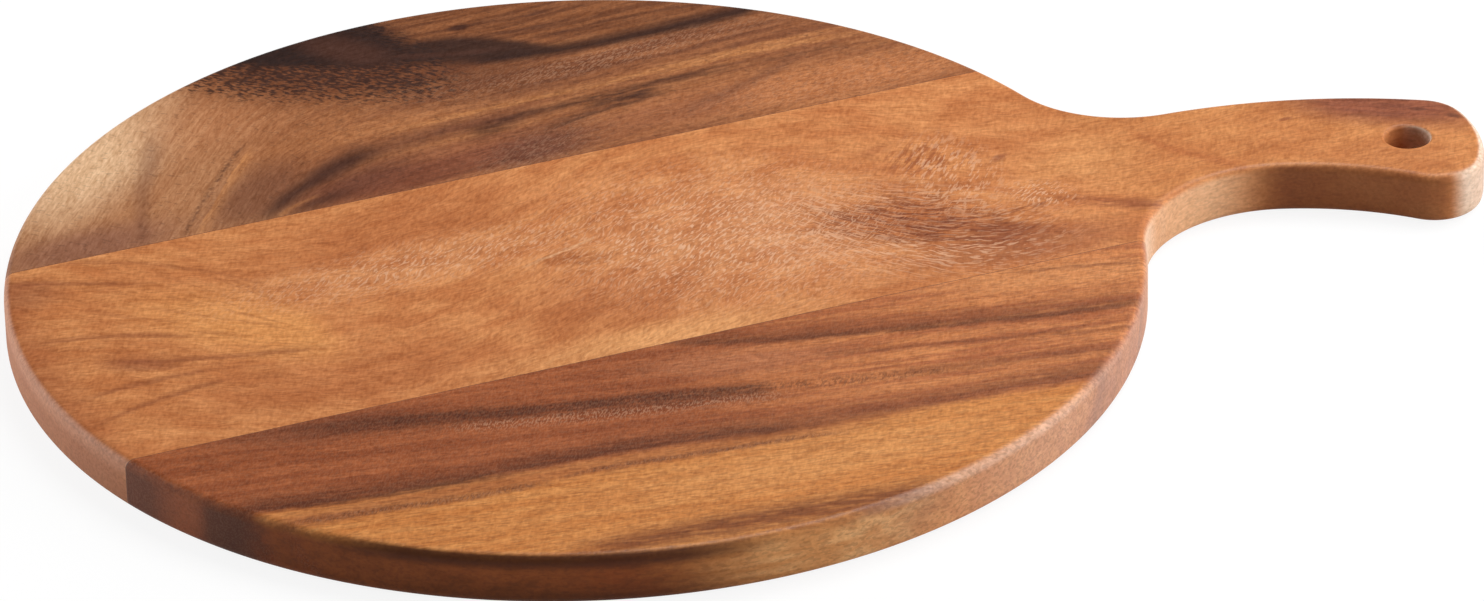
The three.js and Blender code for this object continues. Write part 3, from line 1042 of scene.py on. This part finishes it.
off_x = draw.math("SUBTRACT", x, FAN_X)
off_y = draw.math("SUBTRACT", y, FAN_Y)
bearing = draw.math("ARCTAN2", off_y, draw.math("MULTIPLY", off_x, -1))
reach = draw.math("SQRT", draw.math("ADD", draw.times(off_x, off_x), draw.times(off_y, off_y)))
ray_place = draw.join(
    draw.math("DIVIDE", reach, RAY_LENGTH),
    draw.math("MULTIPLY", bearing, RAYS_PER_RADIAN),
    draw.math("DIVIDE", z, RAY_DEPTH),
)
fan_zone = draw.times(draw.patch(broad, (-102, 8), (34, 28), turn=-35, soft=0.5), draw.ramp(x, -72, -84))
faint_rays = draw.times(draw.ramp(draw.noise(ray_place), 0.52, 0.64), fan_zone, 0.24)
main_rays = draw.most(
    draw.band(loose, (-124, 52.5), (-104, 45.5), (-80, 22), back=2.4, front=1.6, fade=14, share=0.6),
    draw.band(loose, (-141, 47.5), (-126, 42.5), (-110, 35), back=3.2, front=1.8, fade=14),
    draw.band(loose, (-142, 16), (-124, 11.5), (-106, 4), back=3.4, front=1.6, fade=14),
    draw.band(loose, (-130, 0), (-108, -7.5), (-79, -15.5), back=3.2, front=1.6),
    draw.band(loose, (-140, -17), (-122, -14.3), (-106, -15), back=2.4, front=1.6, fade=14),
    draw.band(loose, (-140, -30), (-124, -24.5), (-104, -22), back=2.8, front=1.8, fade=14),
)
left_shade = draw.most(
    draw.patch(loose, (-138, 42), (9, 7), turn=-20),
    draw.patch(loose, (-122, -5), (9, 3), turn=-20),
)
tear_grain = draw.streaks(place, long=5, wide=1.6, seed=8, faint=0.3, full=0.6, least=0.4)
tear = draw.times(draw.patch(loose, (1, 1), (8, 3), turn=-12, soft=0.6), tear_grain)
tear_light = draw.band(loose, (-12, 3.5), (-2, 6.5), (9, 10.5), back=1, front=1, fade=8)
figure = draw.stain(
    body,
    (draw.most(draw.times(main_rays, 0.55), faint_rays), 1, colour(140, 74, 42)),
    (left_shade, 0.5, colour(142, 78, 52)),
    (tear, 0.7, colour(166, 93, 48)),
    (tear_light, 0.6, colour(232, 180, 136)),
)
draw.tell("handle stave's fan")

# %% [markdown]
# In the swirl before the neck the fibres dip and rise again, like bowls set one in another. Taking a parabola
# away from Y flattens those bowls, so strokes that are drawn straight along the new place come out bent.

# %% The handle stave's swirl
BOWL_X = 113
BOWL_BEND = 0.014
STEEP_TURN = 48

swirl_x, swirl_y, swirl_z = draw.split(draw.wander(place, along=12, across=8, amount=2.5, seed=61))
aside = draw.math("SUBTRACT", swirl_x, BOWL_X)
bowl_y = draw.math("MULTIPLY_ADD", draw.times(aside, aside), -BOWL_BEND, swirl_y)
bowl = draw.join(swirl_x, bowl_y, swirl_z)
bowl_strokes = draw.streaks(bowl, long=9, wide=1.5, seed=13, faint=0.42, full=0.6)
steep_place = draw.turned(place, STEEP_TURN)
steep_strokes = draw.streaks(steep_place, long=8, wide=1.5, seed=19, faint=0.45, full=0.6)
eye = draw.most(
    draw.patch(broad, (91, -17.5), (25, 11), turn=-30),
    draw.patch(broad, (108, -28.5), (14, 5.5), turn=-22),
)
stroked = draw.most(
    draw.times(eye, 0.88),
    draw.band(loose, (112, -24), (123, -20.5), (134, -22), fade=10, share=0.6),
    draw.patch(broad, (92, -6), (17, 9), turn=-20, share=0.45),
)
deep = draw.most(
    draw.times(bowl_strokes, stroked),
    draw.patch(loose, (109, -28.5), (11, 4), turn=-22, share=0.6),
    draw.patch(loose, (91, -20), (6, 2.5), turn=-32, share=0.5),
    draw.band(loose, (87, -27.5), (99, -30), (112, -36), back=1.5, front=1.5, fade=8, share=0.8),
)
upper = draw.most(
    draw.times(steep_strokes, draw.patch(broad, (106, 14), (12, 9))),
    draw.patch(loose, (95, 23.5), (5, 2.2), turn=15, share=0.7),
)
figure = draw.stain(
    figure,
    (eye, 0.85, colour(176, 99, 52)),
    (deep, 1, colour(122, 59, 34)),
    (upper, 0.75, colour(158, 84, 44)),
)
draw.tell("handle stave's swirl")

# %% [markdown]
# From the neck on the figure is calm: brown spots in the hollow, one brown band across the neck, and a
# reddish corner at the tip with two dark specks. The strokes in it slant with the bend of the handle.

# %% The handle stave's neck and tip
STROKE_TURN = -26

slanted = draw.turned(draw.wander(place, along=14, across=9, amount=4, seed=62), STROKE_TURN)
strokes = draw.streaks(slanted, long=10, wide=1.7, seed=13, faint=0.42, full=0.62, least=0.3)
neck_run = draw.band(loose, (132, -21), (143, -28), (155, -34.5), back=3.5, front=5, fade=8)
brown_spots = draw.most(
    draw.times(strokes, neck_run),
    draw.patch(broad, (112, -40), (28, 8), turn=-6, share=0.72),
    draw.patch(loose, (147, -30.5), (6, 3), turn=-25, share=0.8),
    draw.patch(loose, (124, 8), (3, 1.2), turn=30, soft=0.6, share=0.9),
    draw.patch(loose, (203, -4.5), (2, 0.8), soft=0.6, share=0.9),
)
across_neck = draw.band(loose, (163, 3), (170, -10), (181, -21), back=5, front=5, fade=6)
tip_shade = draw.patch(loose, (231, -8), (26, 11), turn=-33, soft=0.55)
tip_brown = draw.mix(strokes, colour(156, 88, 60), colour(128, 68, 48))
tip_specks = draw.most(
    draw.patch(loose, (238, -14), (2.4, 1), turn=-40, soft=0.6),
    draw.patch(loose, (245, -21), (2, 1.2), turn=-40, soft=0.6),
)
figure = draw.stain(
    figure,
    (brown_spots, 0.8, colour(146, 78, 48)),
    (draw.patch(broad, (143, -4), (16, 12), turn=-20, soft=0.8), 0.5, colour(222, 154, 94)),
    (draw.patch(broad, (217, -36), (17, 9), turn=-20, soft=0.8), 0.4, colour(186, 112, 62)),
    (across_neck, 0.65, colour(180, 102, 54)),
    (tip_shade, 0.95, tip_brown),
    (tip_specks, 0.7, colour(96, 52, 36)),
)
draw.tell("handle stave's neck and tip")

# %% [markdown]
# The handle's wall is told apart as the front stave's rim was. Light and shade are painted on it: painted
# light in the hollow of the neck and at both ends, and painted shade, a deep red brown, along the flank that
# faces the viewer.

# %% The handle stave's rim
TIP_SLOPE = 0.5

depth = draw.math("SUBTRACT", THICKNESS / MM, z)
front_side = draw.ramp(y, -18, -22)
hollow = draw.times(draw.ramp(depth, 0.4, 2), front_side)
# Painted light on the wall in the hollow of the neck, which faces the light from the right; paler at its
# corner.
lit_neck_wall = draw.times(hollow, draw.span(x, (132, 142), (190, 170)))
lit_neck_corner = draw.times(hollow, draw.span(x, (134, 139), (152, 143)))
# Painted highlight: the tip's end and its edge pale, where the light from the right falls.
tip_highlight = draw.times(draw.ramp(depth, 0.01, 0.4), draw.ramp(x, 229, 235))
# Painted light and sheen on the left end's wall, lighter toward the top.
left_end_sheen = draw.times(draw.ramp(depth, 0.02, 1), draw.ramp(depth, 6, 2, 0.5, 1), draw.ramp(x, -126, -146))
before_tip = draw.ramp(draw.math("MULTIPLY_ADD", x, TIP_SLOPE, y), 80, 74)
flank_run = draw.times(draw.span(x, (178, 194), (232, 227)), draw.ramp(x, 190, 216, 0.72, 0.4))
# Painted shade: deep red brown on the flank that faces the viewer and lies away from the light.
shaded_flank = draw.times(draw.ramp(depth, 0.05, 0.9), front_side, before_tip, flank_run)
figure = draw.stain(
    figure,
    (lit_neck_wall, 0.7, colour(242, 192, 148)),
    (lit_neck_corner, 0.6, colour(244, 216, 190)),
    (tip_highlight, 0.88, colour(230, 202, 178)),
    (left_end_sheen, 0.75, colour(238, 176, 144)),
    (shaded_flank, 1, colour(104, 44, 20)),
)
draw.tell("handle stave's rim")

# %% [markdown]
# Three kinds of pale flecks are painted on this stave as glints. Those of the middle cloud slant across the
# drifting grain, those of the swirl follow its bowls, and those above it stand steep. Where they meet, the
# strongest shows.

# %% The handle stave's surface
CLOUD_GLINT_TURN = 38

cloud_glints = draw.dashes(draw.turned(drifting, CLOUD_GLINT_TURN), long=2.6, wide=0.65, cover=0.26, seed=23)
bowl_glints = draw.dashes(bowl, long=3, wide=0.7, cover=0.24, seed=31)
steep_glints = draw.dashes(steep_place, long=2.8, wide=0.7, cover=0.24, seed=29)
cloud_zone = draw.most(
    draw.times(pinkish, 0.72),
    draw.patch(place, (15, -1), (3.5, 12), soft=0.6, share=0.8),
    draw.patch(broad, (126, -15), (9, 6), turn=-40, soft=0.6, share=0.68),
)
bowl_zone = draw.patch(broad, (84, -18), (38, 22), turn=-32, soft=0.6)
steep_zone = draw.patch(broad, (108, 2), (12, 20), turn=-10, soft=0.6, share=0.46)
# Painted glints: pale dashes where the fibre catches the light.
glint_mask = draw.most(
    draw.times(cloud_glints, cloud_zone),
    draw.times(bowl_glints, bowl_zone, draw.ramp(eye, 0.9, 0.2, 0.3, 0.66)),
    draw.times(steep_glints, steep_zone),
)
end_wood(draw, figure, place, flow, pore_share=0.12, glints=glint_mask)

# %% [markdown]
# Glue squeezes out, is scraped off flush and oiled over, so each joint is only a thin dark line. One soft
# noise along the grain is enough for it.

# %% The glue's finish
GLUE_ROUGHNESS = 0.5

glue, draw, place, _ = start_wood("cured_glue", lean=0)
tone = draw.mix(draw.fibre(place, long=12, wide=3), colour(88, 48, 28), colour(128, 76, 46))
surface = draw.add("ShaderNodeBsdfPrincipled", {"Base Color": tone, "Roughness": GLUE_ROUGHNESS})
draw.wire(draw.add("ShaderNodeOutputMaterial").inputs["Surface"], surface.outputs[0])
finishes = {"back_wood": back_wood, "handle_wood": handle_wood, "front_wood": front_wood, "glue": glue}
print("finishes:", list(finishes))

# %% [markdown]
# The hanging hole is drilled near the tip and its two lips are eased, so that a cord or a peg doesn't chafe.
# A cylinder would leave hard lips, so the drill is turned like a spindle: its section flares in a quarter
# round at both faces, and spinning that section gives the solid to take away.

# %% The drill
HOLE_SETBACK = 20 * MM
HOLE_BEARING = math.radians(-12)
HOLE_X = TIP_X + (TIP_RADIUS - HOLE_SETBACK) * math.cos(HOLE_BEARING)
HOLE_Y = TIP_Y + (TIP_RADIUS - HOLE_SETBACK) * math.sin(HOLE_BEARING)
HOLE_RADIUS = 6.1 * MM
HOLE_EASE = 1 * MM
EASE_STEPS = 6
HOLE_SIDES = 72
CLEAR = 5 * MM


def drill_section():
    """Half of the drill's section, from the middle of its lower end to the middle of its upper end."""
    mouth = HOLE_RADIUS + HOLE_EASE
    turns = [math.pi / 2 * step / EASE_STEPS for step in range(EASE_STEPS + 1)]
    lip = [(mouth - HOLE_EASE * math.sin(turn), HOLE_EASE * (1 - math.cos(turn))) for turn in turns]
    lower = [(0, -CLEAR), (mouth, -CLEAR)] + lip
    return lower + [(radius, THICKNESS - height) for radius, height in reversed(lower)]


def make_drill():
    """The drill as a closed solid, set over the place of the hole."""
    shape = bmesh.new()
    points = [shape.verts.new((radius, 0, height)) for radius, height in drill_section()]
    edges = [shape.edges.new(pair) for pair in zip(points, points[1:])]
    section = points + edges
    bmesh.ops.spin(shape, geom=section, axis=(0, 0, 1), angle=2 * math.pi, steps=HOLE_SIDES)
    bmesh.ops.remove_doubles(shape, verts=shape.verts, dist=MERGE_DISTANCE)
    bmesh.ops.recalc_face_normals(shape, faces=shape.faces)
    bmesh.ops.translate(shape, verts=shape.verts, vec=(HOLE_X, HOLE_Y, 0))
    mesh = bpy.data.meshes.new("drill")
    shape.to_mesh(mesh)
    shape.free()
    drill = bpy.data.objects.new("drill", mesh)
    scene.collection.objects.link(drill)
    return drill


drill = make_drill()
print("drill faces:", len(drill.data.polygons))

# %% [markdown]
# Each stave is the same tree with its own block. The blocks take their sides from the frame, where the glue
# films say how far each stave reaches, and the handle stave also keeps everything past the neck. The result
# of a tree is only on show until it is turned into a plain mesh, so that comes last, and the tools are put
# away.

# %% One piece from the tree
ROUND_STEPS = 10
OUTSIDE = 0.4

ways_in = [item for item in stave_tree.interface.items_tree if item.in_out == "INPUT"]
sockets = {item.name: item.identifier for item in ways_in}
print("sockets of the stave tree:", sockets)


def outline_object():
    """The outline as a closed loop of edges, for a stave tree to work on."""
    count = len(outline)
    mesh = bpy.data.meshes.new("outline")
    mesh.from_pydata([(*point, 0) for point in outline], [(i, (i + 1) % count) for i in range(count)], [])
    made = bpy.data.objects.new("outline", mesh)
    scene.collection.objects.link(made)
    return made


def tell_shape(mesh):
    """Says how many faces a mesh has, what it holds and whether it is closed."""
    shape = bmesh.new()
    shape.from_mesh(mesh)
    open_edges = sum(1 for edge in shape.edges if not edge.is_manifold)
    volume = shape.calc_volume(signed=True) / MM ** 3
    shape.free()
    print(f"{mesh.name}: {len(mesh.polygons)} faces, {volume:.1f} mm3, {open_edges} open edges")


def make_piece(name, node, slot, low_y, high_y, carries_handle=False):
    """One stave or film cut from the panel, as a plain mesh that stands for its node."""
    work = outline_object()
    modifier = work.modifiers.new("stave", "NODES")
    modifier.node_group = stave_tree
    values = {
        "Thickness": THICKNESS, "Edge Round": EDGE_ROUND, "Round Steps": ROUND_STEPS,
        "Low Corner": (-OUTSIDE, low_y, -OUTSIDE), "High Corner": (NECK_X, high_y, OUTSIDE),
        "Carries Handle": carries_handle, "Drill": drill, "Finish": finishes[slot],
    }
    for socket, value in values.items():
        modifier[sockets[socket]] = value
    shown = work.evaluated_get(bpy.context.evaluated_depsgraph_get())
    mesh = bpy.data.meshes.new_from_object(shown)
    mesh.name = name
    piece = bpy.data.objects.new(name, mesh)
    scene.collection.objects.link(piece)
    outline_mesh = work.data
    bpy.data.objects.remove(work)
    bpy.data.meshes.remove(outline_mesh)
    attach(piece, "root")
    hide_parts(node)
    tell_shape(mesh)


# %% The five pieces
back_film_low, back_film_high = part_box("glue_line_back")
front_film_low, front_film_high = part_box("glue_line_front")
make_piece("oiled_back_stave", "back_stave", "back_wood", back_film_high.y, OUTSIDE)
handle_sides = (front_film_high.y, back_film_low.y)
make_piece("oiled_handle_stave", "handle_stave", "handle_wood", *handle_sides, carries_handle=True)
make_piece("oiled_front_stave", "front_stave", "front_wood", -OUTSIDE, front_film_low.y)
make_piece("flush_glue_back", "glue_line_back", "glue", back_film_low.y, back_film_high.y)
make_piece("flush_glue_front", "glue_line_front", "glue", front_film_low.y, front_film_high.y)
drill_mesh = drill.data
bpy.data.objects.remove(drill)
bpy.data.meshes.remove(drill_mesh)

# %% [markdown]
# The board lies in a white studio: bright from the right, softer from the left and from above, and dim toward
# the viewer, so that the front rim stays deep. A sun or a small lamp would draw a hard highlight on the oil,
# while large soft boxes give the satin its broad gleam.


# %% The soft boxes
def soft_box(name, place, width, height, power):
    """A soft box at a place, aimed at the middle of the board."""
    lamp = bpy.data.lights.new(name, "AREA")
    lamp.shape = "RECTANGLE"
    lamp.size = width
    lamp.size_y = height
    lamp.energy = power
    made = bpy.data.objects.new(name, lamp)
    made.location = place
    made.rotation_euler = (AIM - Vector(place)).to_track_quat("-Z", "Y").to_euler()
    scene.collection.objects.link(made)


soft_box("overhead_box", (0.62, 0.36, 1.3), width=0.9, height=0.9, power=15)
soft_box("right_box", (1.22, -0.44, 0.5), width=2.2, height=0.9, power=21.5)
soft_box("left_box", (-0.92, 0.79, 0.3), width=1.2, height=0.6, power=10)

# %% The sky
WHITE = (1, 1, 1, 1)
AMBIENT = 0.06

world = bpy.data.worlds.new("studio")
scene.world = world
world.use_nodes = True
world.node_tree.nodes.clear()
draw = Finish(world.node_tree)
sky = draw.add("ShaderNodeBackground", {"Color": WHITE, "Strength": AMBIENT})
draw.wire(draw.add("ShaderNodeOutputWorld").inputs["Surface"], sky.outputs[0])
print("sky strength:", AMBIENT)

# %% [markdown]
# To the camera and in reflections the floor glows almost white, with a little shading on top that keeps a
# soft shadow and ties the board to the table. Bounced light meets a plain pale floor without that glow, so
# the white ground doesn't light the board. The floor lies a hair below the underside, because two faces in
# the same plane would fight over which one shows.

# %% The floor
FLOOR_SEEN = 0.14
FLOOR_BOUNCE = 0.7
FLOOR_GLOW = 0.88
FLOOR_SIZE = 6
FLOOR_DROP = 0.2 * MM

material = empty_material("pale_floor")
draw = Finish(material.node_tree)
ray = draw.add("ShaderNodeLightPath").outputs
mirrored = draw.math("MAXIMUM", ray["Is Glossy Ray"], ray["Is Transmission Ray"])
seen = draw.math("MAXIMUM", ray["Is Camera Ray"], mirrored)
grey = draw.math("MULTIPLY_ADD", seen, FLOOR_SEEN - FLOOR_BOUNCE, FLOOR_BOUNCE)
matte = draw.add("ShaderNodeBsdfDiffuse", {"Color": grey})
glow = draw.add("ShaderNodeEmission", {"Color": WHITE, "Strength": draw.math("MULTIPLY", seen, FLOOR_GLOW)})
both = draw.add("ShaderNodeAddShader", {0: matte.outputs[0], 1: glow.outputs[0]})
draw.wire(draw.add("ShaderNodeOutputMaterial").inputs["Surface"], both.outputs[0])

floor_mesh = bpy.data.meshes.new("floor")
corner = FLOOR_SIZE / 2
sides = [(-corner, -corner), (corner, -corner), (corner, corner), (-corner, corner)]
floor_mesh.from_pydata([(*side, -FLOOR_DROP) for side in sides], [], [(0, 1, 2, 3)])
floor_mesh.materials.append(material)
floor = bpy.data.objects.new("floor", floor_mesh)
scene.collection.objects.link(floor)
scene.view_settings.view_transform = "Standard"
print("floor in m:", FLOOR_SIZE, "drop in mm:", FLOOR_DROP / MM)

# %% [markdown]
